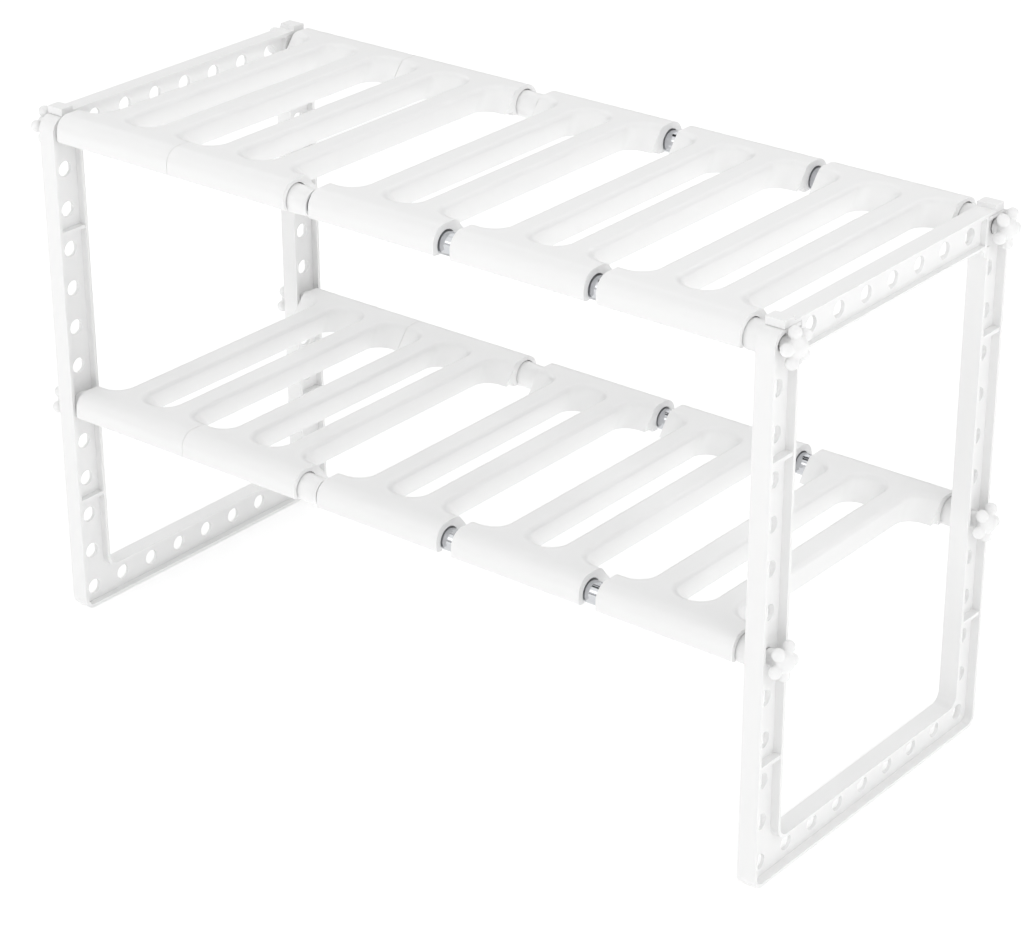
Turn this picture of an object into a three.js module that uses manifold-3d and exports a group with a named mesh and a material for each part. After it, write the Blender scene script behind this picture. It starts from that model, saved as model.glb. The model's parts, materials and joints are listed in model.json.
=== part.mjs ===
// Expandable two-tier shelf riser: two drilled side frames with bolted top crossbars, four telescoping
// tube pairs, ten clip-on slatted shelf panels and eight star knobs that clamp the tubes to the frames.
// Millimetres, +Z up, +X along the tubes, front at -Y, origin on the floor under the middle.
import * as THREE from "three";
import { mergeVertices } from "three/addons/utils/BufferGeometryUtils.js";
import Module from "manifold-3d";

const wasm = await Module();
wasm.setup();

// ---- driving dimensions ----
const HOLE_PITCH = 29; // between neighbouring adjustment holes, everywhere
const UPRIGHT_PITCHES = 12; // hole spaces from the base hole to the top hole
const DEPTH_PITCHES = 8; // hole spaces from the front upright to the rear one
const LOWER_TIER_PITCHES = 7; // the lower tier hangs this many holes below the upper one
const WEB_X = 290; // half the distance between the two frame webs, as shown opened out
const CLEAR = 0.3; // gap between pieces that touch

const FRAME = {
  width: 26, // width of uprights and base rail, seen from the side
  flange: 2.5,
  web: 2.5,
  innerRecess: 5,
  outerRecess: 6,
  holeR: 5.5,
  footR: 8,
  topR: 9.5,
  topAboveHole: 10,
  ribPitches: [2.5, 9.5], // stiffening ribs, in hole spaces below the top hole
};
const BAR = {
  height: 22.5,
  topAboveHole: 12.5,
  blockRise: 3,
  blockLength: 10,
  gusset: 6,
  recess: 3.7, // on the side that faces +X
  lowerFlange: 1.6,
  tongue: { thick: 2.7, below: 9, above: 7, endGap: 1 }, // heights are from the top hole
};
const TUBE = { outerR: 8.8, outerBoreR: 8, innerR: 7.7, innerBoreR: 6.9, sides: 12 };
const PLUG = { headR: 9.5, boreR: 3.2, spigot: 12, leftHead: 7, rightHead: 16.5, spigotGap: 0.4 };
const COLLAR = { outerR: 9.6, length: 19, lip: 1.8 };
const OUTER_TUBE_LENGTH = 219;
const INNER_TUBE_LENGTH = 493;
const KNOB = { studR: 2.7, studLength: 14, neckR: 5.5, lobeR: 4.2, tipR: 14, lobes: 5, domeR: 6.5, sides: 8 };
// Where each knob's first lobe points, in degrees from +Y towards +Z.
const KNOB_TURNS = { upper: { front: 29, rear: 58 }, lower: { front: 58, rear: 58 } };
const KNOB_PLATE = { from: 9.5, thick: 7, dome: 3.5 }; // distances outwards from the web's mid-plane
const PANEL = {
  width: 102,
  top: 12.8, // height of the shelf surface over the tube axis
  railR: 12.8,
  shoulderR: 10.8, // where the shelf surface rolls over into the rail's face
  lipR: 2,
  lipDraw: 1.5, // how far the clip's foot is drawn in under the rail's face
  boreR: 10.3,
  lip: 5.5, // how far the clip reaches below the tube axis
  ledge: 5, // flat border between a slot's end and the rail
  slat: 18,
  midSlot: 28,
  slotEnd: 10, // from tube axis to the end of a slot, at the top
  slatDepth: 15.3,
  wall: 2,
  skin: 2.8,
  endTaper: 0.915, // slot length at the underside over slot length at the top
};
const PANEL_STARTS = {
  upper: [-280.5, -178.2, -55, 60, 171],
  lower: [-280.5, -178.2, -56, 58, 173],
};

// ---- derived places ----
const HALF_WIDTH = FRAME.width / 2;
const ROD_Y = (DEPTH_PITCHES * HOLE_PITCH) / 2;
const BASE_HOLE_Z = HALF_WIDTH;
const TOP_Z = BASE_HOLE_Z + UPRIGHT_PITCHES * HOLE_PITCH;
const TIERS = { upper: TOP_Z, lower: TOP_Z - LOWER_TIER_PITCHES * HOLE_PITCH };
const UPRIGHT_TOP = TOP_Z + FRAME.topAboveHole;
const OUTER_Y = ROD_Y + HALF_WIDTH;
const INNER_Y = ROD_Y - HALF_WIDTH;
const WEB_IN = WEB_X - FRAME.web / 2;
const WEB_OUT = WEB_X + FRAME.web / 2;
const FACE_IN = WEB_IN - FRAME.innerRecess;
const FACE_OUT = WEB_OUT + FRAME.outerRecess;
const SIDES = { left: -1, right: 1 };
const ENDS = { front: -1, rear: 1 };
const BOTH = Object.values(ENDS);
const FRAME_WEB = [WEB_IN, WEB_OUT];
// Both crossbars are the same moulding the same way round, so their webs lie at different distances out.
const BAR_WEB_START = { left: FACE_IN + BAR.recess, right: FACE_OUT - BAR.recess - FRAME.web };
const CUT = 1; // how far a cutting shape runs past the surface it cuts
const RECESS_SPANS = [
  [FACE_IN - CUT, WEB_IN],
  [WEB_OUT, FACE_OUT + CUT],
];

// ---- materials ----
const white = (color, roughness) => () => new THREE.MeshStandardMaterial({ color, roughness, metalness: 0 });
const framePlastic = white(0xf1f1f0, 0.42);
const panelPlastic = white(0xf4f4f3, 0.36);
const fittingPlastic = white(0xf6f6f5, 0.3);
const chrome = () => new THREE.MeshStandardMaterial({ color: 0xc9cdd2, roughness: 0.12, metalness: 1 });

// ---- solids ----
function solid(geometry) {
  const bare = geometry.index ? geometry.toNonIndexed() : geometry.clone();
  bare.deleteAttribute("normal");
  bare.deleteAttribute("uv");
  const merged = mergeVertices(bare, 1e-4);
  const mesh = new wasm.Mesh({
    numProp: 3,
    vertProperties: merged.attributes.position.array,
    triVerts: new Uint32Array(merged.index.array),
  });
  return new wasm.Manifold(mesh);
}

function geometryOf(made) {
  const mesh = made.getMesh();
  const geometry = new THREE.BufferGeometry();
  geometry.setAttribute("position", new THREE.BufferAttribute(mesh.vertProperties, 3));
  geometry.setIndex(new THREE.BufferAttribute(mesh.triVerts, 1));
  geometry.computeVertexNormals();
  return geometry;
}

const join = (parts) => parts.reduce((sum, part) => sum.add(part));

function box([x0, x1], [y0, y1], [z0, z1]) {
  const shape = new THREE.BoxGeometry(Math.abs(x1 - x0), Math.abs(y1 - y0), Math.abs(z1 - z0));
  return solid(shape.translate((x0 + x1) / 2, (y0 + y1) / 2, (z0 + z1) / 2));
}

// A closed outline through the given corners, each [u, v, radius], with round ones as arcs.
function outline(corners) {
  const shape = new THREE.Shape();
  corners.forEach(([u, v, radius = 0], i) => {
    const here = new THREE.Vector2(u, v);
    const [before, after] = [corners.at(i - 1), corners[(i + 1) % corners.length]].map(([a, b]) =>
      new THREE.Vector2(a, b).sub(here).normalize(),
    );
    const half = Math.acos(THREE.MathUtils.clamp(before.dot(after), -1, 1)) / 2;
    const reach = radius / Math.tan(half);
    const start = here.clone().addScaledVector(before, reach);
    i ? shape.lineTo(start.x, start.y) : shape.moveTo(start.x, start.y);
    if (!radius) return;
    const middle = before.clone().add(after).normalize().multiplyScalar(radius / Math.sin(half)).add(here);
    const end = here.clone().addScaledVector(after, reach);
    const angle = (point) => Math.atan2(point.y - middle.y, point.x - middle.x);
    shape.absarc(middle.x, middle.y, radius, angle(start), angle(end), before.cross(after) > 0);
  });
  shape.closePath();
  return shape;
}

// An outline in (y, z) made into a slab between two x values.
function slabX(shape, x0, x1, curveSegments = 3) {
  const depth = Math.abs(x1 - x0);
  const geometry = new THREE.ExtrudeGeometry(shape, { depth, bevelEnabled: false, curveSegments });
  const turn = new THREE.Matrix4().makeBasis(
    new THREE.Vector3(0, 1, 0),
    new THREE.Vector3(0, 0, 1),
    new THREE.Vector3(1, 0, 0),
  );
  return solid(geometry.applyMatrix4(turn).translate(Math.min(x0, x1), 0, 0));
}

// A profile of [x, r] points turned about the X axis.
function turned(profile, sides = TUBE.sides) {
  const points = profile.map(([x, r]) => new THREE.Vector2(r, x));
  return solid(new THREE.LatheGeometry(points, sides).rotateZ(-Math.PI / 2));
}

const flipped = (profile) => profile.map(([x, r]) => [-x, r]).reverse();

const tubeBetween = (x0, x1, outerR, innerR) =>
  turned([
    [x0, innerR],
    [x0, outerR],
    [x1, outerR],
    [x1, innerR],
    [x0, innerR],
  ]);

function holeX(y, z, x0, x1, radius = FRAME.holeR, sides = 6) {
  const cylinder = new THREE.CylinderGeometry(radius, radius, Math.abs(x1 - x0), sides);
  return solid(cylinder.rotateZ(Math.PI / 2).translate((x0 + x1) / 2, y, z));
}

// ---- side frame: an H-section U, drilled along its web ----
function uOutline(inset, top, topR = 0) {
  const [outerY, innerY] = [OUTER_Y - inset, INNER_Y + inset];
  const [footR, cornerR] = [FRAME.footR - inset, FRAME.footR + inset];
  return outline([
    [-outerY, top, topR],
    [-outerY, inset, footR],
    [outerY, inset, footR],
    [outerY, top, topR],
    [innerY, top],
    [innerY, FRAME.width - inset, cornerR],
    [-innerY, FRAME.width - inset, cornerR],
    [-innerY, top],
  ]);
}

function sideFrame(side) {
  const at = (x) => side * x;
  const body = slabX(uOutline(0, UPRIGHT_TOP, FRAME.topR), at(FACE_IN), at(FACE_OUT));
  // The inner recess is open at the top, where the upper tier's plugs reach up past the flange.
  const recessTops = [UPRIGHT_TOP + CUT, UPRIGHT_TOP - FRAME.flange];
  const [innerRecess, outerRecess] = RECESS_SPANS.map(([x0, x1], i) =>
    slabX(uOutline(FRAME.flange, recessTops[i]), at(x0), at(x1)),
  );
  const ribs = FRAME.ribPitches.map((pitches) => {
    const bottom = TOP_Z - pitches * HOLE_PITCH - FRAME.flange / 2;
    return box([at(FACE_IN), at(FACE_OUT)], [-OUTER_Y, OUTER_Y], [bottom, bottom + FRAME.flange]);
  });
  const holes = BOTH.flatMap((end) =>
    Array.from({ length: UPRIGHT_PITCHES + 1 }, (_, k) => webHole(side, end * ROD_Y, TOP_Z - k * HOLE_PITCH)),
  );
  // Mouths in the inner flanges, where the crossbar's tongues enter.
  const mouths = BOTH.map((end) =>
    box(
      [at(WEB_OUT), at(FACE_OUT + CUT)],
      [end * (INNER_Y - CUT), end * (INNER_Y + FRAME.flange)],
      [TOP_Z - BAR.tongue.below - CUT, UPRIGHT_TOP - FRAME.flange],
    ),
  );
  const recesses = innerRecess.add(outerRecess).subtract(join(ribs));
  return body.subtract(recesses).subtract(join([...holes, ...railHoles(side, BASE_HOLE_Z), ...mouths]));
}

const webHole = (side, y, z, [x0, x1] = FRAME_WEB) => holeX(y, z, side * (x0 - CUT), side * (x1 + CUT));

// The row of holes between the uprights, at one height.
const railHoles = (side, z, web) =>
  Array.from({ length: DEPTH_PITCHES - 1 }, (_, j) => webHole(side, (j + 1) * HOLE_PITCH - ROD_Y, z, web));

// ---- top crossbar: a drilled H-section bar with tongues that the top knobs clamp ----
function crossbar(side) {
  const at = (x) => side * x;
  const across = [at(FACE_IN), at(FACE_OUT)];
  const top = TOP_Z + BAR.topAboveHole;
  const bottom = top - BAR.height;
  const end = INNER_Y - CLEAR;
  const foot = end - FRAME.flange;
  const footBottom = bottom - BAR.gusset - CUT;
  const profile = outline([
    [-end, top],
    [-end, footBottom],
    [-foot, footBottom],
    [-foot, bottom, BAR.gusset],
    [foot, bottom, BAR.gusset],
    [foot, footBottom],
    [end, footBottom],
    [end, top],
  ]);
  const webStart = side > 0 ? BAR_WEB_START.right : BAR_WEB_START.left;
  const web = [webStart, webStart + FRAME.web];
  const spans = [
    [FACE_IN - CUT, web[0]],
    [web[1], FACE_OUT + CUT],
  ];
  const recesses = spans.map(([x0, x1]) =>
    box([at(x0), at(x1)], [-foot, foot], [bottom + BAR.lowerFlange, top - FRAME.flange]),
  );
  const bar = slabX(profile, ...across).subtract(join(recesses));
  const blockEnd = OUTER_Y - FRAME.topR + CUT / 2;
  const tongueX = WEB_OUT + CLEAR;
  const ends = BOTH.flatMap((e) => [
    box(across, [e * (end - CUT), e * blockEnd], [UPRIGHT_TOP + CLEAR, top]),
    box(across, [e * (blockEnd - BAR.blockLength), e * blockEnd], [top - CUT, top + BAR.blockRise]),
    box(
      [at(tongueX), at(tongueX + BAR.tongue.thick)],
      [e * (end - CUT), e * (OUTER_Y - FRAME.flange - BAR.tongue.endGap)],
      [TOP_Z - BAR.tongue.below, TOP_Z + BAR.tongue.above],
    ),
  ]);
  const bores = BOTH.map((e) => holeX(e * ROD_Y, TOP_Z, at(WEB_OUT), at(FACE_OUT)));
  return bar.add(join(ends)).subtract(join([...railHoles(side, top - BAR.height / 2, web), ...bores]));
}

// ---- tubes and their fittings, about the tube axis ----
const HEAD_START = WEB_IN - CLEAR;
const OUTER_TUBE_START = -HEAD_START + PLUG.leftHead + CLEAR;
const OUTER_TUBE_END = OUTER_TUBE_START + OUTER_TUBE_LENGTH;
const INNER_TUBE_END = HEAD_START - PLUG.rightHead - CLEAR;

// End plug: a round head against the web and a spigot inside the tube, bored for the knob's stud.
function plug(side, head, spigotR) {
  const shoulder = HEAD_START - head;
  const tip = shoulder - PLUG.spigot;
  const profile = [
    [tip, PLUG.boreR],
    [tip, spigotR],
    [shoulder, spigotR],
    [shoulder, PLUG.headR],
    [HEAD_START, PLUG.headR],
    [HEAD_START, PLUG.boreR],
    [tip, PLUG.boreR],
  ];
  return turned(side > 0 ? profile : flipped(profile));
}

// Mouth collar: a sleeve over the outer tube's end with a lip round the inner tube.
function collar() {
  const lipFace = OUTER_TUBE_END + CLEAR + COLLAR.lip;
  return turned([
    [lipFace - COLLAR.length, TUBE.outerR + CLEAR],
    [lipFace - COLLAR.length, COLLAR.outerR],
    [lipFace, COLLAR.outerR],
    [lipFace, TUBE.innerR + CLEAR],
    [OUTER_TUBE_END + CLEAR, TUBE.innerR + CLEAR],
    [OUTER_TUBE_END + CLEAR, TUBE.outerR + CLEAR],
    [lipFace - COLLAR.length, TUBE.outerR + CLEAR],
  ]);
}

// Star knob: a stud, a neck that bears on the frame, five finger lobes and a dome.
function knob(side, seat, turn) {
  const plate = WEB_X + KNOB_PLATE.from;
  const face = plate + KNOB_PLATE.thick;
  const shoulder = Math.PI / 4;
  const profile = [
    [seat - KNOB.studLength, 0],
    [seat - KNOB.studLength, KNOB.studR],
    [seat, KNOB.studR],
    [seat, KNOB.neckR],
    [plate + CUT, KNOB.neckR],
    [plate + CUT, KNOB.domeR],
    [face, KNOB.domeR],
    [face + KNOB_PLATE.dome * Math.sin(shoulder), KNOB.domeR * Math.cos(shoulder)],
    [face + KNOB_PLATE.dome, 0],
  ];
  const hub = side > 0 ? turned(profile, KNOB.sides) : turned(flipped(profile), KNOB.sides);
  const star = new THREE.Shape();
  const reach = KNOB.tipR - KNOB.lobeR;
  const step = (2 * Math.PI) / KNOB.lobes;
  const valley = KNOB.lobeR / Math.sin(step / 2);
  for (let i = 0; i < KNOB.lobes; i++) {
    const a = i * step + (turn * Math.PI) / 180;
    const [u, v] = [valley * Math.cos(a - step / 2), valley * Math.sin(a - step / 2)];
    i ? star.lineTo(u, v) : star.moveTo(u, v);
    star.absarc(reach * Math.cos(a), reach * Math.sin(a), KNOB.lobeR, a - Math.PI / 2, a + Math.PI / 2);
  }
  star.closePath();
  return hub.add(slabX(star, side * plate, side * face));
}

// ---- shelf panel: two clip rails along X joined by two hollow slats, about x = 0 and z = tube axis ----
const SLOT_Y = ROD_Y - PANEL.slotEnd;
const SLAT_IN = PANEL.midSlot / 2;
const SLAT_OUT = SLAT_IN + PANEL.slat;
const UNDERSIDE = PANEL.top - PANEL.slatDepth;

function rail(end) {
  const inner = end * (SLOT_Y - PANEL.ledge);
  const face = end * (ROD_Y + PANEL.railR);
  const profile = outline([
    [inner, PANEL.top],
    [face, PANEL.top, PANEL.shoulderR],
    [face, -PANEL.lipR, PANEL.lipR],
    [face - end * PANEL.lipDraw, -PANEL.lip],
    [end * (ROD_Y - PANEL.railR), -PANEL.lip],
    [inner, UNDERSIDE],
  ]);
  return slabX(profile, -PANEL.width / 2, PANEL.width / 2);
}

// A round-ended slot whose end walls slope inwards like a bowl's.
function slotBetween(x0, x1) {
  const r = Math.min(x1 - x0, PANEL.midSlot) / 2 - CLEAR / 10;
  const shape = outline([
    [x0, -SLOT_Y, r],
    [x1, -SLOT_Y, r],
    [x1, SLOT_Y, r],
    [x0, SLOT_Y, r],
  ]);
  const depth = 2 * PANEL.slatDepth;
  const geometry = new THREE.ExtrudeGeometry(shape, { depth, bevelEnabled: false, curveSegments: 2 });
  geometry.translate(0, 0, PANEL.top - depth);
  const corners = geometry.attributes.position;
  const taper = 1 - ((1 - PANEL.endTaper) * depth) / PANEL.slatDepth;
  for (let i = 0; i < corners.count; i++) {
    if (corners.getZ(i) < UNDERSIDE) corners.setY(i, corners.getY(i) * taper);
    else corners.setZ(i, PANEL.top + CLEAR);
  }
  return solid(geometry);
}

function panel() {
  const half = PANEL.width / 2;
  const past = 2 * half - SLAT_OUT;
  const hollowY = ROD_Y - PANEL.railR - PANEL.wall;
  const slats = [-1, 1].map((s) =>
    box([s * SLAT_IN, s * SLAT_OUT], [-SLOT_Y, SLOT_Y], [UNDERSIDE, PANEL.top]),
  );
  const hollows = [-1, 1].map((s) =>
    box(
      [s * (SLAT_IN + PANEL.wall), s * (SLAT_OUT - PANEL.wall)],
      [-hollowY, hollowY],
      [UNDERSIDE - CUT, PANEL.top - PANEL.skin],
    ),
  );
  const slots = [slotBetween(-past, -SLAT_OUT), slotBetween(-SLAT_IN, SLAT_IN), slotBetween(SLAT_OUT, past)];
  const bores = BOTH.map((end) => holeX(end * ROD_Y, 0, -half - CUT, half + CUT, PANEL.boreR, TUBE.sides));
  return join([...BOTH.map(rail), ...slats]).subtract(join([...slots, ...bores, ...hollows]));
}

// ---- assembly ----
const riser = new THREE.Group();
riser.name = "shelf_riser";

function place(parent, name, made, material, [x, y, z] = [0, 0, 0]) {
  const mesh = new THREE.Mesh(made.isBufferGeometry ? made : geometryOf(made), material());
  mesh.name = name;
  mesh.position.set(x, y, z);
  parent.add(mesh);
}

for (const [name, side] of Object.entries(SIDES)) {
  const frame = new THREE.Group();
  riser.add(frame);
  place(frame, `${name}_side_frame`, sideFrame(side), framePlastic);
  place(frame, `${name}_top_crossbar`, crossbar(side), framePlastic);
}

const outerTube = geometryOf(tubeBetween(OUTER_TUBE_START, OUTER_TUBE_END, TUBE.outerR, TUBE.outerBoreR));
const INNER_TUBE_START = INNER_TUBE_END - INNER_TUBE_LENGTH;
const innerTube = geometryOf(tubeBetween(INNER_TUBE_START, INNER_TUBE_END, TUBE.innerR, TUBE.innerBoreR));
const collarShape = geometryOf(collar());
const plugs = {
  left: geometryOf(plug(-1, PLUG.leftHead, TUBE.outerBoreR - PLUG.spigotGap)),
  right: geometryOf(plug(1, PLUG.rightHead, TUBE.innerBoreR - PLUG.spigotGap)),
};
const seats = { upper: WEB_OUT + 2 * CLEAR + BAR.tongue.thick, lower: WEB_OUT + CLEAR };
const panelShape = geometryOf(panel());

for (const [tier, z] of Object.entries(TIERS)) {
  const shelf = new THREE.Group();
  shelf.position.z = z;
  riser.add(shelf);
  for (const [end, sign] of Object.entries(ENDS)) {
    const rod = [0, sign * ROD_Y, 0];
    place(shelf, `${tier}_${end}_outer_tube`, outerTube, framePlastic, rod);
    place(shelf, `${tier}_${end}_inner_tube`, innerTube, chrome, rod);
    place(shelf, `${tier}_${end}_collar`, collarShape, fittingPlastic, rod);
    for (const [name, side] of Object.entries(SIDES)) {
      place(shelf, `${tier}_${end}_${name}_plug`, plugs[name], fittingPlastic, rod);
      const made = knob(side, seats[tier], KNOB_TURNS[tier][end]);
      place(shelf, `${tier}_${end}_${name}_knob`, made, fittingPlastic, rod);
    }
  }
  PANEL_STARTS[tier].forEach((start, i) => {
    place(shelf, `${tier}_panel_${i + 1}`, panelShape, panelPlastic, [start + PANEL.width / 2, 0, 0]);
  });
}

export default riser;
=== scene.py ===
"""Looks of an expandable two-tier shelf riser: drilled white side frames, top crossbars, telescoping
tubes with chrome inner halves, slatted clip-on panels and star knobs. Metres, +Z up, front at -Y."""

import json
import math

import bmesh
import bpy
from mathutils import Matrix, Vector


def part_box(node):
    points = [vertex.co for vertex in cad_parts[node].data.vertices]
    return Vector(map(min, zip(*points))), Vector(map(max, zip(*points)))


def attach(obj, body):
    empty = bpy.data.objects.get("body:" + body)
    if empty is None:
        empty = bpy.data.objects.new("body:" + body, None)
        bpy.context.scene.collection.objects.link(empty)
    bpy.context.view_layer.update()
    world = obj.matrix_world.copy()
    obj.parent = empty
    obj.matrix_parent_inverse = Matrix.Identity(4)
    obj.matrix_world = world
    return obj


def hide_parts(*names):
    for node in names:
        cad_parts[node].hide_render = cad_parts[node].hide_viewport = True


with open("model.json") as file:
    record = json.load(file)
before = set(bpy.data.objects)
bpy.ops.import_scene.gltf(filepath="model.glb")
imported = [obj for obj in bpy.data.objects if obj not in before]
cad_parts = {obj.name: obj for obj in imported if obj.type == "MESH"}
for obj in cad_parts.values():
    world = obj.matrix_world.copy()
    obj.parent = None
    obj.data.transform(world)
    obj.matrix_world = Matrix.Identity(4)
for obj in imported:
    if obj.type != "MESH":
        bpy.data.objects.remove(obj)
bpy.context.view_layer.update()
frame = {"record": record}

MM = 0.001
SIDES = {"left": -1, "right": 1}
ENDS = {"front": -1, "rear": 1}
TIERS = ("upper", "lower")
HALF_BODY = {"left": "left_half", "right": "right_half"}


# ---- modelling steps ----
def add(name, primitive, **settings):
    """Adds a primitive at its size and place and leaves it open in edit mode, all selected."""
    bpy.ops.object.select_all(action="DESELECT")
    primitive(**settings)
    piece = bpy.context.object
    piece.name = name
    bpy.ops.object.transform_apply(location=True, rotation=True, scale=True)
    bpy.ops.object.mode_set(mode="EDIT")
    return piece


def add_box(name, low, high):
    """A box between two corners, open in edit mode."""
    low, high = Vector(map(min, low, high)), Vector(map(max, low, high))
    cube = bpy.ops.mesh.primitive_cube_add
    return add(name, cube, size=1, location=(low + high) / 2, scale=high - low)


def add_rod(name, radius, x0, x1, y, z, vertices=32):
    """A cylinder along X, open in edit mode."""
    return add(
        name,
        bpy.ops.mesh.primitive_cylinder_add,
        vertices=vertices,
        radius=radius,
        depth=abs(x1 - x0),
        location=((x0 + x1) / 2, y, z),
        rotation=(0, math.pi / 2, 0),
    )


def add_plate(name, x, width, low_z, high_z):
    """A rectangle that faces along X, open in edit mode."""
    plane, centre = bpy.ops.mesh.primitive_plane_add, (x, 0, (low_z + high_z) / 2)
    plate = add(name, plane, size=1, location=centre, rotation=(0, math.pi / 2, 0))
    bpy.ops.transform.resize(value=(1, width, high_z - low_z), center_override=centre)
    return plate


def close():
    """Leaves edit mode with every face pointing outwards."""
    bpy.ops.mesh.select_all(action="SELECT")
    bpy.ops.mesh.remove_doubles(threshold=0.01 * MM)
    bpy.ops.mesh.normals_make_consistent(inside=False)
    bpy.ops.object.mode_set(mode="OBJECT")


def middle(part):
    """Where a vertex, edge or face is."""
    if isinstance(part, bmesh.types.BMVert):
        return part.co
    if isinstance(part, bmesh.types.BMEdge):
        return (part.verts[0].co + part.verts[1].co) / 2
    return part.calc_center_median()


def span(edge):
    """How far an edge reaches along each axis."""
    return Vector(map(abs, edge.verts[0].co - edge.verts[1].co))


def pick(kind, test):
    """Selects the vertices, edges or faces of the piece in edit mode that pass the test."""
    bpy.ops.mesh.select_mode(type=kind)
    bpy.ops.mesh.select_all(action="DESELECT")
    mesh = bpy.context.object.data
    parts = bmesh.from_edit_mesh(mesh)
    for part in {"VERT": parts.verts, "EDGE": parts.edges, "FACE": parts.faces}[kind]:
        if test(part):
            part.select_set(True)
    bmesh.update_edit_mesh(mesh)


def near(a, b, slack=0.05 * MM):
    """Whether two measures are the same but for rounding."""
    return abs(a - b) < slack


def cut(axis, at):
    """Cuts the whole open mesh across an axis at a distance from the origin."""
    bpy.ops.mesh.select_all(action="SELECT")
    spot = [at if i == axis else 0 for i in range(3)]
    bpy.ops.mesh.bisect(plane_co=spot, plane_no=[float(i == axis) for i in range(3)])


def pull(vector):
    """Extrudes what is selected along a vector."""
    bpy.ops.mesh.extrude_region_move(TRANSFORM_OT_translate={"value": vector})


def modify(piece, kind, **settings):
    """Adds a modifier and applies it at once."""
    bpy.context.view_layer.objects.active = piece
    modifier = piece.modifiers.new(kind.title(), kind)
    for key, value in settings.items():
        setattr(modifier, key, value)
    bpy.ops.object.modifier_apply(modifier=modifier.name)


def combine(piece, tool, operation="DIFFERENCE"):
    """Cuts a tool piece out of a piece, or joins it on, and throws the tool away."""
    modify(piece, "BOOLEAN", object=tool, operation=operation, solver="EXACT")
    bpy.data.objects.remove(tool)


def merge(pieces):
    """Several pieces as one object."""
    bpy.ops.object.select_all(action="DESELECT")
    for piece in pieces:
        piece.select_set(True)
    bpy.context.view_layer.objects.active = pieces[0]
    bpy.ops.object.join()
    return pieces[0]


def soften(piece, width, angle=35, segments=2):
    """Rounds the sharp edges a little and shades the piece smoothly."""
    limit = math.radians(angle)
    modify(piece, "BEVEL", width=width, segments=segments, limit_method="ANGLE", angle_limit=limit)
    smooth(piece, angle)


def smooth(piece, angle=35):
    """Shades a piece smoothly, while its flat faces keep looking flat."""
    bpy.ops.object.select_all(action="DESELECT")
    piece.select_set(True)
    bpy.context.view_layer.objects.active = piece
    bpy.ops.object.shade_smooth_by_angle(angle=math.radians(angle))
    modify(piece, "WEIGHTED_NORMAL", keep_sharp=True)


def finish_piece(piece, node, material):
    """Hands a finished piece over: its name, material, body and the CAD node it stands for."""
    piece.name = node + "_skin"
    piece.data.materials.clear()
    piece.data.materials.append(material)
    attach(piece, node_body(node))
    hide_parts(node)


def node_body(node):
    """The body that a CAD node belongs to."""
    bodies = frame["record"]["behaviour"]["bodies"]
    return next(body for body, nodes in bodies.items() if node in nodes)


def copy_of(piece, shift):
    """A copy with its own mesh, moved by a vector inside its mesh."""
    bpy.ops.object.select_all(action="DESELECT")
    piece.select_set(True)
    bpy.context.view_layer.objects.active = piece
    bpy.ops.object.duplicate(linked=False)
    twin = bpy.context.object
    bpy.ops.transform.translate(value=shift)
    bpy.ops.object.transform_apply(location=True, rotation=True, scale=True)
    return twin


# ---- sizes: what the frame doesn't give ----
HOLE_PITCH = 29 * MM
HOLE_R = 5.5 * MM
FLANGE = 2.5 * MM
WEB_X = 290 * MM
RAIL_WIDTH = 26 * MM
FOOT_R = 8 * MM
TOP_R = 9.5 * MM
GAP = 0.3 * MM
PAST = 1 * MM  # how far a cutting piece runs past the surface it cuts
RIB_PITCHES = (2.5, 9.5)  # how many hole pitches under the upper tubes the ribs are
HOLES_UP = 13  # in an upright, from the upper tubes down
HOLES_ALONG = 7  # in a base rail or a crossbar, between the uprights' rows
TONGUE = 2.7 * MM  # thickness of a crossbar's tongue, which lies on the frame's web
TONGUE_DROP = 9 * MM  # from the upper tubes' axis to the tongue's lower edge
TONGUE_RISE = 7 * MM
TONGUE_CORNER = 5 * MM
MOUTH_DROP = 10 * MM  # from the upper tubes' axis to the sill of the tongue's opening
EDGE_R = 0.5 * MM  # asked of moulded edges; short edges nearby can clamp it, down to nothing

tube_low, tube_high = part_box("upper_rear_inner_tube")
ROD_Y = (tube_low.y + tube_high.y) / 2
TIER_Z = {tier: sum(p.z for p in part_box(f"{tier}_rear_inner_tube")) / 2 for tier in TIERS}
frame_low, frame_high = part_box("right_side_frame")
FACE_IN, FACE_OUT = frame_low.x, frame_high.x
FRAME_Y, FRAME_TOP = frame_high.y, frame_high.z
INNER_Y = FRAME_Y - RAIL_WIDTH
WEB_IN, WEB_OUT = WEB_X - FLANGE / 2, WEB_X + FLANGE / 2


# ---- side frames ----
def round_corners(test, radius, segments=8):
    """Turns the picked corners of a flat outline into arcs."""
    pick("VERT", test)
    bpy.ops.mesh.bevel(offset=radius, offset_pct=0, segments=segments, affect="VERTICES")


def sink(x, depth):
    """Insets the face that lies at x by a flange's thickness and pushes the middle in by depth."""
    pick("FACE", lambda f: near(middle(f).x, x) and abs(f.normal.x) > 0.9)
    bpy.ops.mesh.inset(thickness=FLANGE, use_even_offset=True)
    pull((depth, 0, 0))


def hole_row(web_x, start, step, count):
    """A row of cylinders that drill through a web, from (y, z) in equal steps."""
    row = add_rod("holes", HOLE_R, web_x - 3 * FLANGE, web_x + 3 * FLANGE, *start, vertices=28)
    close()
    modify(
        row,
        "ARRAY",
        count=count,
        use_relative_offset=False,
        use_constant_offset=True,
        constant_offset_displace=(0, *step),
    )
    return row


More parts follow.
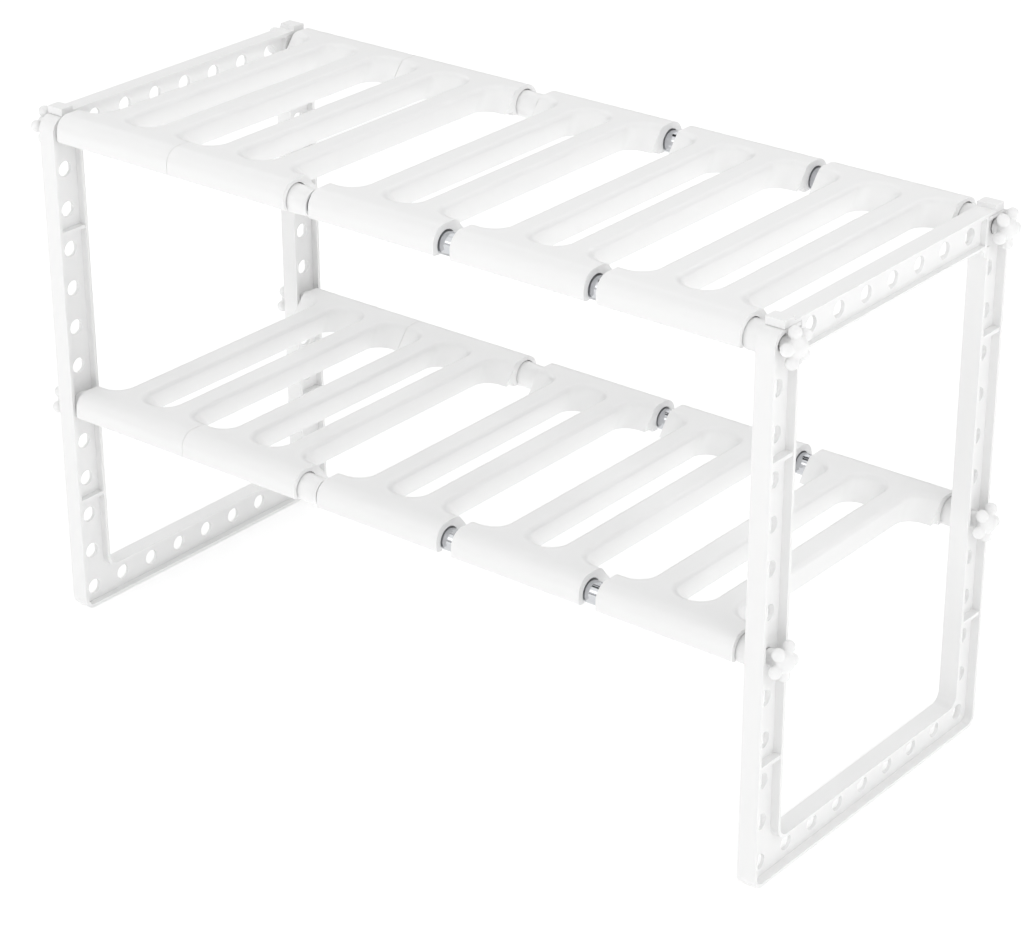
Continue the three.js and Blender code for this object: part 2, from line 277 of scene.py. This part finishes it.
def side_frame(side):
    """A U of two uprights and a base rail: recessed on both faces, ribbed and drilled, with a
    mouth beside each upright's web for the crossbar's tongue."""
    inner_x, outer_x = side * FACE_IN, side * FACE_OUT
    piece = add_plate("side_frame", inner_x, 2 * FRAME_Y, 0, FRAME_TOP)
    cut(1, -INNER_Y)
    cut(1, INNER_Y)
    cut(2, RAIL_WIDTH)
    pick("FACE", lambda f: abs(middle(f).y) < INNER_Y and middle(f).z > RAIL_WIDTH)
    bpy.ops.mesh.delete(type="FACE")
    bpy.ops.mesh.select_all(action="SELECT")
    bpy.ops.mesh.dissolve_limited(angle_limit=math.radians(1))
    round_corners(lambda v: near(abs(v.co.y), FRAME_Y) and near(v.co.z, 0), FOOT_R)
    round_corners(lambda v: near(abs(v.co.y), FRAME_Y) and near(v.co.z, FRAME_TOP), TOP_R)
    round_corners(lambda v: near(abs(v.co.y), INNER_Y) and near(v.co.z, RAIL_WIDTH), FOOT_R)
    bpy.ops.mesh.select_all(action="SELECT")
    pull((outer_x - inner_x, 0, 0))
    sink(outer_x, side * (WEB_OUT - FACE_OUT))
    sink(inner_x, side * (WEB_IN - FACE_IN))
    close()
    for pitches in RIB_PITCHES:
        z = TIER_Z["upper"] - pitches * HOLE_PITCH
        for end in ENDS.values():
            rib_y = [end * (INNER_Y + FLANGE / 2), end * (FRAME_Y - FLANGE / 2)]
            rib_z = [z - FLANGE / 2, z + FLANGE / 2]
            rib = add_box(
                "rib",
                (inner_x + side * FLANGE / 5, rib_y[0], rib_z[0]),
                (outer_x - side * FLANGE / 5, rib_y[1], rib_z[1]),
            )
            close()
            combine(piece, rib, "UNION")
    web_x, top_z = side * WEB_X, TIER_Z["upper"]
    cutters = [
        hole_row(web_x, (end * ROD_Y, top_z), (0, -HOLE_PITCH), HOLES_UP) for end in ENDS.values()
    ]
    first_hole = (HOLE_PITCH - ROD_Y, RAIL_WIDTH / 2)
    cutters.append(hole_row(web_x, first_hole, (HOLE_PITCH, 0), HOLES_ALONG))
    for end in ENDS.values():
        cutters.append(
            add_box(
                "tongue_mouth",
                (side * WEB_OUT, end * (INNER_Y - PAST), top_z - MOUTH_DROP),
                (outer_x + side * PAST, end * (INNER_Y + FLANGE), FRAME_TOP - FLANGE),
            )
        )
        close()
    for cutter in cutters:
        combine(piece, cutter)
    soften(piece, EDGE_R)
    return piece


# ---- top crossbars ----
BAR_RISE = 12.5 * MM  # over the upper tubes' axis
BAR_HEIGHT = 22.5 * MM
BAR_TOP = TIER_Z["upper"] + BAR_RISE
BAR_BOTTOM = BAR_TOP - BAR_HEIGHT
BAR_END = INNER_Y - GAP
BAR_RECESS = 3.7 * MM
LOWER_FLANGE = 1.6 * MM
GUSSET = 6 * MM  # where a foot meets the bar's underside
BLOCK_LENGTH = 10 * MM
BLOCK_END = FRAME_Y - TOP_R + EDGE_R


def crossbar(side):
    """A drilled bar with a foot, a plate, a block and a tongue at each upright."""
    low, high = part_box("right_top_crossbar")
    inner_x, outer_x = side * FACE_IN, side * FACE_OUT
    foot_start = BAR_END - FLANGE
    piece = add_box("crossbar", (inner_x, -BAR_END, BAR_BOTTOM), (outer_x, BAR_END, BAR_TOP))
    cut(2, FRAME_TOP + GAP)
    for end in ENDS.values():
        # the plate over the upright's top, and the block that stands on it
        pick("FACE", lambda f: near(middle(f).y, end * BAR_END) and middle(f).z > FRAME_TOP)
        pull((0, end * (BLOCK_END - BLOCK_LENGTH - BAR_END), 0))
        pull((0, end * BLOCK_LENGTH, 0))
        block_start = BLOCK_END - BLOCK_LENGTH
        pick("FACE", lambda f: near(middle(f).z, BAR_TOP) and end * middle(f).y > block_start)
        pull((0, 0, high.z - BAR_TOP))
    for end in ENDS.values():
        # the foot that runs down the upright, filleted into the bar's underside
        cut(1, end * foot_start)
        pick("FACE", lambda f: near(middle(f).z, BAR_BOTTOM) and end * middle(f).y > foot_start)
        pull((0, 0, low.z - BAR_BOTTOM))
    pick("EDGE", lambda e: near(middle(e).z, BAR_BOTTOM) and near(abs(middle(e).y), foot_start))
    bpy.ops.mesh.bevel(offset=GUSSET, segments=6, affect="EDGES")
    close()
    # both bars are one moulding the same way round, with the shallow recess towards +X
    web_x = outer_x - BAR_RECESS - FLANGE if side > 0 else inner_x - BAR_RECESS
    for x0, x1 in ((inner_x - side * PAST, web_x), (web_x + side * FLANGE, outer_x + side * PAST)):
        recess = add_box(
            "recess",
            (x0, FLANGE - BAR_END, BAR_BOTTOM + LOWER_FLANGE),
            (x1, BAR_END - FLANGE, BAR_TOP - FLANGE),
        )
        close()
        combine(piece, recess)
    for end in ENDS.values():
        tongue = add_box(
            "tongue",
            (side * (WEB_OUT + GAP), end * (BAR_END - PAST), TIER_Z["upper"] - TONGUE_DROP),
            (side * (WEB_OUT + GAP + TONGUE), end * high.y, TIER_Z["upper"] + TONGUE_RISE),
        )
        pick("EDGE", lambda e: near(abs(middle(e).y), high.y) and span(e).x > MM)
        bpy.ops.mesh.bevel(offset=TONGUE_CORNER, segments=6, affect="EDGES")
        close()
        combine(piece, tongue, "UNION")
        combine(piece, hole_row(side * WEB_X, (end * ROD_Y, TIER_Z["upper"]), (0, 0), 1))
    first_hole = (HOLE_PITCH - ROD_Y, (BAR_TOP + BAR_BOTTOM) / 2)
    combine(piece, hole_row(web_x + side * FLANGE / 2, first_hole, (HOLE_PITCH, 0), HOLES_ALONG))
    soften(piece, EDGE_R)
    return piece


# ---- tubes and their fittings ----
ROUND = 64  # sides of everything that turns on a tube's axis
OUTER_TUBE_BORE_R = 8 * MM
INNER_TUBE_BORE_R = 6.9 * MM
COLLAR_BORE_R = 9.1 * MM  # on the outer tube
LIP_BORE_R = 8 * MM  # round the inner tube
COLLAR_LIP = 1.8 * MM
COLLAR_GROOVE = (3 * MM, 4 * MM)  # from the collar's mouth
GROOVE_SHARE = 0.96  # of the collar's radius
PLUG_HEAD = {"left": 7 * MM, "right": 16.5 * MM}
SPIGOT_R = 6.4 * MM
THREAD_R = 3.2 * MM


def turned(node):
    """The two ends along X, the axis and the radius of a round CAD node that lies along X."""
    low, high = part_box(node)
    return low.x, high.x, (low.y + high.y) / 2, (low.z + high.z) / 2, (high.z - low.z) / 2


def drill(piece, radius, x0, x1, y, z, vertices=ROUND):
    """Bores a round hole along X."""
    tool = add_rod("bore", radius, x0, x1, y, z, vertices=vertices)
    close()
    combine(piece, tool)


def sleeve(node, bore_r):
    """A hollow turned piece in the place of a CAD node, with a bore along X."""
    x0, x1, y, z, radius = turned(node)
    piece = add_rod(node, radius, x0, x1, y, z, vertices=ROUND)
    close()
    drill(piece, bore_r, x0 - PAST, x1 + PAST, y, z)
    soften(piece, 0.3 * MM)
    return piece


def collar(node):
    """A sleeve over the outer tube's end: a raised band, and a lip that closes round the chrome tube."""
    x0, x1, y, z, radius = turned(node)
    piece = add_rod(node, radius, x0, x1, y, z, vertices=ROUND)
    for depth in COLLAR_GROOVE:
        cut(0, x1 - depth)
    groove_x = x1 - sum(COLLAR_GROOVE) / 2
    pick("FACE", lambda f: near(middle(f).x, groove_x) and abs(f.normal.x) < 0.5)
    narrower = (1, GROOVE_SHARE, GROOVE_SHARE)
    bpy.ops.transform.resize(value=narrower, center_override=(groove_x, y, z))
    close()
    drill(piece, COLLAR_BORE_R, x0 - PAST, x1 - COLLAR_LIP, y, z)
    drill(piece, LIP_BORE_R, x0, x1 + PAST, y, z)
    soften(piece, 0.35 * MM)
    return piece


def plug(node, side, head):
    """An end plug: a round head against the web, a narrower spigot in the tube, a threaded bore."""
    x0, x1, y, z, radius = turned(node)
    face, tip = (x1, x0) if side > 0 else (x0, x1)
    neck = face - side * head
    piece = add_rod(node, radius, neck, face, y, z, vertices=ROUND)
    pick("FACE", lambda f: near(middle(f).x, neck) and abs(f.normal.x) > 0.9)
    bpy.ops.mesh.inset(thickness=radius - SPIGOT_R)
    pull((tip - neck, 0, 0))
    close()
    drill(piece, THREAD_R, x0 - PAST, x1 + PAST, y, z, vertices=32)
    soften(piece, 0.6 * MM, segments=3)
    return piece


# ---- star knobs ----
LOBES = 5
LOBE_R = 4.2 * MM
TIP_R = 13.8 * MM
HUB_R = 7 * MM
NECK_R = 5.5 * MM
FINGER_SHARE = 0.8  # of a lobe's radius
MELT = 0.45 * MM  # voxel size that joins the parts of a knob
STUD_R = 2.7 * MM
STUD_LENGTH = 14 * MM
# degrees from +Y towards +Z
FIRST_LOBE = {"upper_front": 29, "upper_rear": 58, "lower_front": 58, "lower_rear": 58}


def knob(node, side):
    """A domed hub with five round lobes on a neck, melted into one moulding, and its stud."""
    turn = math.radians(FIRST_LOBE["_".join(node.split("_")[:2])])
    low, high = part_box(node)
    y, z = (low.y + high.y) / 2, TIER_Z[node.split("_")[0]]
    y = math.copysign(ROD_Y, y)
    apex = high.x if side > 0 else low.x
    plane = apex - side * HUB_R
    seat = side * (WEB_OUT + (GAP * 2 + TONGUE if node.startswith("upper") else GAP))
    centre = Vector((plane, y, z))
    ball = bpy.ops.mesh.primitive_uv_sphere_add
    parts = [add("hub", ball, radius=HUB_R, location=centre, segments=32)]
    close()
    parts.append(add_rod("neck", NECK_R, seat, plane, y, z))
    close()
    reach = TIP_R - LOBE_R
    for i in range(LOBES):
        angle = turn + i * 2 * math.pi / LOBES
        out = Vector((0, math.cos(angle), math.sin(angle)))
        finger = add(
            "finger",
            bpy.ops.mesh.primitive_cylinder_add,
            vertices=24,
            radius=LOBE_R * FINGER_SHARE,
            depth=reach,
            location=centre + out * reach / 2,
            rotation=out.to_track_quat("Z", "X").to_euler(),
        )
        close()
        lobe = add("lobe", ball, radius=LOBE_R, location=centre + out * reach, segments=24)
        close()
        parts += [finger, lobe]
    piece = merge(parts)
    modify(piece, "REMESH", mode="VOXEL", voxel_size=MELT)
    modify(piece, "SMOOTH", factor=0.6, iterations=8)
    tip = seat - side * STUD_LENGTH
    stud = add_rod("stud", STUD_R, tip, seat + side * MM, y, z, vertices=24)
    pick("FACE", lambda f: near(middle(f).x, tip))
    bpy.ops.mesh.bevel(offset=0.8 * MM, segments=2, affect="EDGES")
    close()
    combine(piece, stud, "UNION")
    smooth(piece, 50)
    return piece


# ---- shelf panels ----
PANEL_TOP = 12.8 * MM  # above the tube axis
SHOULDER_R = 10.8 * MM
LIP = 5.5 * MM
SLAT = 18 * MM
MID_SLOT = 28 * MM
SLOT_Y = ROD_Y - 10 * MM
BOWL = 12 * MM
UNDERSIDE = PANEL_TOP - 15.3 * MM
WALL = 2 * MM
SKIN = 2.8 * MM  # thickness of a slat's top
RIM_R = 3.2 * MM  # where the surface turns down into a slot
CLIP_R = 2.5 * MM  # at the clip's lower edge
WIDE_BORE_R = 10.3 * MM  # passes over a collar
SNUG_BORE_R = 8.7 * MM  # for the panels that only meet the chrome tube


def slot_tool(x, width, corner_r):
    """A round-ended cutter whose end walls slope in towards the bottom, like a bowl's."""
    top, bottom = PANEL_TOP + 4 * PAST, UNDERSIDE - 10 * PAST
    slope = BOWL / (PANEL_TOP - UNDERSIDE)
    top_y = SLOT_Y + slope * (top - PANEL_TOP)
    bottom_y = SLOT_Y - slope * (PANEL_TOP - bottom)
    tool = add_box("slot", (x - width / 2, -top_y, bottom), (x + width / 2, top_y, top))
    pick("EDGE", lambda e: span(e).z > MM)
    bpy.ops.mesh.bevel(offset=corner_r, segments=12, affect="EDGES")
    pick("FACE", lambda f: near(middle(f).z, bottom))
    bpy.ops.transform.resize(value=(1, bottom_y / top_y, 1), center_override=(x, 0, bottom))
    close()
    return tool


def panel(bore_r):
    """One shelf panel about x = 0, with z measured from the tube axis."""
    low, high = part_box("upper_panel_1")
    half, face_y = (high.x - low.x) / 2, high.y
    corner_r = MID_SLOT / 2 - 0.2 * MM
    piece = add_plate("panel", -half, 2 * face_y, UNDERSIDE, PANEL_TOP)
    rail_in = ROD_Y - PANEL_TOP
    for end in ENDS.values():
        cut(1, end * rail_in)
    pick("EDGE", lambda e: near(middle(e).z, UNDERSIDE) and abs(middle(e).y) > rail_in + PAST)
    pull((0, 0, -LIP - UNDERSIDE))
    bpy.ops.mesh.select_all(action="SELECT")
    bpy.ops.mesh.dissolve_limited(angle_limit=math.radians(1))
    round_corners(lambda v: near(abs(v.co.y), face_y) and near(v.co.z, PANEL_TOP), SHOULDER_R, 14)
    round_corners(lambda v: near(abs(v.co.y), face_y) and near(v.co.z, -LIP), CLIP_R, 5)
    bpy.ops.mesh.select_all(action="SELECT")
    pull((2 * half, 0, 0))
    close()
    side_width = 2 * (half - SLAT - MID_SLOT / 2)
    for x, width in ((0, MID_SLOT), (-half, side_width), (half, side_width)):
        combine(piece, slot_tool(x, width, corner_r))
    rounded_rim(piece, RIM_R)
    hollow_y = ROD_Y - PANEL_TOP - WALL
    for sign in SIDES.values():
        x0 = sign * (MID_SLOT / 2 + WALL)
        x1 = sign * (MID_SLOT / 2 + SLAT - WALL)
        tool = add_box("hollow", (x0, -hollow_y, UNDERSIDE - PAST), (x1, hollow_y, PANEL_TOP - SKIN))
        close()
        combine(piece, tool)
        drill(piece, bore_r, -half - PAST, half + PAST, sign * ROD_Y, 0)
    soften(piece, EDGE_R, angle=50)
    return piece


def rounded_rim(piece, radius):
    """Rounds the edge where the shelf surface turns down into the slots."""
    bpy.context.view_layer.objects.active = piece
    bpy.ops.object.mode_set(mode="EDIT")

    def on_rim(edge):
        flat = [abs(f.normal.z) > 0.99 for f in edge.link_faces]
        level = all(near(v.co.z, PANEL_TOP) for v in edge.verts)
        return level and sum(flat) == 1 and abs(middle(edge).y) < SLOT_Y + PAST

    pick("EDGE", on_rim)
    bpy.ops.mesh.bevel(offset=radius, segments=5, affect="EDGES")
    close()


# ---- materials ----
MIX_A, MIX_B, MIX_COLOR = 6, 7, 2  # the colour sockets of a Mix node, in and out


class Number:
    """A number in a material's node tree. Arithmetic on it adds Math nodes."""

    def __init__(self, graph, socket):
        self.graph, self.socket = graph, socket

    def _math(self, operation, first, second):
        return self.graph.node("ShaderNodeMath", {"operation": operation}, {0: first, 1: second})

    def __add__(self, other):
        return self._math("ADD", self, other)

    def __mul__(self, other):
        return self._math("MULTIPLY", self, other)

    __radd__ = __add__
    __rmul__ = __mul__


class Graph:
    """The node tree of one new material."""

    def __init__(self, name):
        self.material = bpy.data.materials.new(name)
        self.material.use_nodes = True
        self.tree = self.material.node_tree
        self.tree.nodes.clear()

    def node(self, kind, settings=None, values=None, output=0):
        """Adds a node, sets it up, feeds its sockets and gives back one of its outputs."""
        made = self.tree.nodes.new(kind)
        for key, value in (settings or {}).items():
            setattr(made, key, value)
        for key, value in (values or {}).items():
            if isinstance(value, Number):
                self.tree.links.new(value.socket, made.inputs[key])
            else:
                made.inputs[key].default_value = value
        return Number(self, made.outputs[output]) if made.outputs else None

    def noise(self, scale, detail=2.0, stretch=(1, 1, 1)):
        """Noise over the piece's own coordinates, in features per metre."""
        place = self.node("ShaderNodeTexCoord", output="Object")
        place = self.node("ShaderNodeMapping", values={"Vector": place, "Scale": stretch})
        return self.node("ShaderNodeTexNoise", values={"Vector": place, "Scale": scale, "Detail": detail})

    def bump(self, height, strength, distance):
        """The normal that a height gives."""
        values = {"Strength": strength, "Distance": distance, "Height": height}
        return self.node("ShaderNodeBump", values=values)

    def finish(self, **values):
        """The surface, from the Principled BSDF's sockets."""
        named = {key.replace("_", " "): value for key, value in values.items()}
        shader = self.node("ShaderNodeBsdfPrincipled", values=named)
        self.node("ShaderNodeOutputMaterial", values={"Surface": shader})
        return self.material


def moulded_plastic(name, color, roughness):
    """Satin injection-moulded plastic: faint clouding, uneven gloss and a fine moulded grain."""
    graph = Graph(name)
    clouds = graph.noise(14, detail=3)
    flow = graph.noise(60, detail=4, stretch=(0.25, 1, 1))
    fine = graph.noise(1800, detail=1)
    duller = [c * 0.975 for c in color]
    tint = graph.node(
        "ShaderNodeMix",
        {"data_type": "RGBA"},
        {"Factor": clouds * 0.6 + flow * 0.4, MIX_A: (*duller, 1), MIX_B: (*color, 1)},
        output=MIX_COLOR,
    )
    height = fine * 0.06 + flow * 0.3
    bump = graph.bump(height, 0.12, 0.2 * MM)
    return graph.finish(
        Base_Color=tint,
        Roughness=roughness - 0.05 + flow * 0.1,
        Normal=bump,
    )


def chrome_plate():
    """Polished chrome with faint drawing marks along the tube and a slight bloom."""
    graph = Graph("chrome_plate")
    marks = graph.noise(900, detail=2, stretch=(0.02, 1, 1))
    bloom = graph.noise(25, detail=3)
    bump = graph.bump(marks, 0.05, 0.05 * MM)
    return graph.finish(
        Base_Color=(0.6, 0.61, 0.63, 1),
        Metallic=1.0,
        Roughness=0.06 + bloom * 0.06,
        Normal=bump,
    )


frame_plastic = moulded_plastic("frame_plastic", (0.895, 0.895, 0.893), 0.4)
shelf_plastic = moulded_plastic("shelf_plastic", (0.9, 0.9, 0.898), 0.36)
fitting_plastic = moulded_plastic("fitting_plastic", (0.9, 0.9, 0.898), 0.3)
chrome = chrome_plate()


# ---- assembly ----
for side_name, side in SIDES.items():
    finish_piece(side_frame(side), f"{side_name}_side_frame", frame_plastic)
    finish_piece(crossbar(side), f"{side_name}_top_crossbar", frame_plastic)

for tier in TIERS:
    for end in ENDS:
        rod = f"{tier}_{end}"
        outer, inner, mouth = f"{rod}_outer_tube", f"{rod}_inner_tube", f"{rod}_collar"
        finish_piece(sleeve(outer, OUTER_TUBE_BORE_R), outer, fitting_plastic)
        finish_piece(sleeve(inner, INNER_TUBE_BORE_R), inner, chrome)
        finish_piece(collar(mouth), mouth, fitting_plastic)
        for side_name, head in PLUG_HEAD.items():
            node = f"{rod}_{side_name}_plug"
            body = plug(node, SIDES[side_name], head)
            finish_piece(body, node, fitting_plastic)
        for side_name, side in SIDES.items():
            node = f"{rod}_{side_name}_knob"
            finish_piece(knob(node, side), node, fitting_plastic)

for bore_r, numbers in ((WIDE_BORE_R, (1, 2, 5)), (SNUG_BORE_R, (3, 4))):
    master = panel(bore_r)
    for tier in TIERS:
        for i in numbers:
            low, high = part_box(f"{tier}_panel_{i}")
            spot = ((low.x + high.x) / 2, 0, TIER_Z[tier])
            finish_piece(copy_of(master, spot), f"{tier}_panel_{i}", shelf_plastic)
    bpy.data.objects.remove(master)


# ---- floor, light and camera ----
SHELF_MIDDLE = Vector((0, 0, 0.2))
ROOM_LIGHT = 1.22
DARK_BANDS = ((0.05, 0.32), (0.8, 0.92))  # heights of the room's dark bands, from floor to ceiling
BAND_EDGE, DARK = 0.02, 0.02  # how soft a band ends, and its brightness


def floor():
    """A plain pale floor that runs out into the white room."""
    bpy.ops.object.select_all(action="DESELECT")
    bpy.ops.mesh.primitive_plane_add(size=30)
    plane = bpy.context.object
    plane.name = "floor"
    graph = Graph("pale_floor")
    plane.data.materials.append(
        graph.finish(
            Base_Color=(0.93, 0.93, 0.93, 1),
            Roughness=0.9,
            Emission_Color=(1, 1, 1, 1),
            Emission_Strength=0.25,
        )
    )


def softbox(name, place, size, power):
    """A rectangular light that faces the middle of the shelf."""
    bpy.ops.object.light_add(type="AREA", location=place)
    light = bpy.context.object
    light.name = name
    light.rotation_euler = (SHELF_MIDDLE - Vector(place)).to_track_quat("-Z", "Y").to_euler()
    light.data.shape = "RECTANGLE"
    light.data.size, light.data.size_y = size
    light.data.energy = power


def studio():
    """A white room with two dark bands all round, which only the chrome shows, and two softboxes."""
    world = bpy.data.worlds.new("studio")
    bpy.context.scene.world = world
    world.use_nodes = True
    tree = world.node_tree
    place = tree.nodes.new("ShaderNodeTexCoord")
    height = tree.nodes.new("ShaderNodeSeparateXYZ")
    bands = tree.nodes.new("ShaderNodeValToRGB")
    for element in bands.color_ramp.elements:
        element.color = (1, 1, 1, 1)
    for start, end in DARK_BANDS:
        stops = ((start, 1), (start + BAND_EDGE, DARK), (end - BAND_EDGE, DARK), (end, 1))
        for spot, tone in stops:
            bands.color_ramp.elements.new(spot).color = (tone, tone, tone, 1)
    background = tree.nodes["Background"]
    background.inputs["Strength"].default_value = ROOM_LIGHT
    tree.links.new(place.outputs["Generated"], height.inputs[0])
    tree.links.new(height.outputs["Z"], bands.inputs[0])
    tree.links.new(bands.outputs["Color"], background.inputs["Color"])
    softbox("front", (-0.9, -2.2, 1.1), (1.6, 1.4), 5.5)
    softbox("right", (2.3, -0.4, 1.2), (1.4, 1.2), 6.8)
    bpy.context.scene.view_settings.view_transform = "Standard"


def camera():
    """The camera stands to the right of the front and looks down on the shelf."""
    azimuth, elevation, roll = (math.radians(a) for a in (38.77, 25.74, -0.18))
    aim, distance = Vector((0.0111, -0.0083, 0.1601)), 2.0462
    back = Vector(
        (
            math.sin(azimuth) * math.cos(elevation),
            -math.cos(azimuth) * math.cos(elevation),
            math.sin(elevation),
        )
    )
    bpy.ops.object.camera_add(location=aim + back * distance)
    eye = bpy.context.object
    eye.rotation_mode = "QUATERNION"
    eye.rotation_quaternion = (-back).to_track_quat("-Z", "Y")
    eye.rotation_quaternion @= Matrix.Rotation(roll, 3, "Z").to_quaternion()
    eye.data.sensor_width = 36
    eye.data.lens = 107.48
    bpy.context.scene.camera = eye


floor()
studio()
camera()
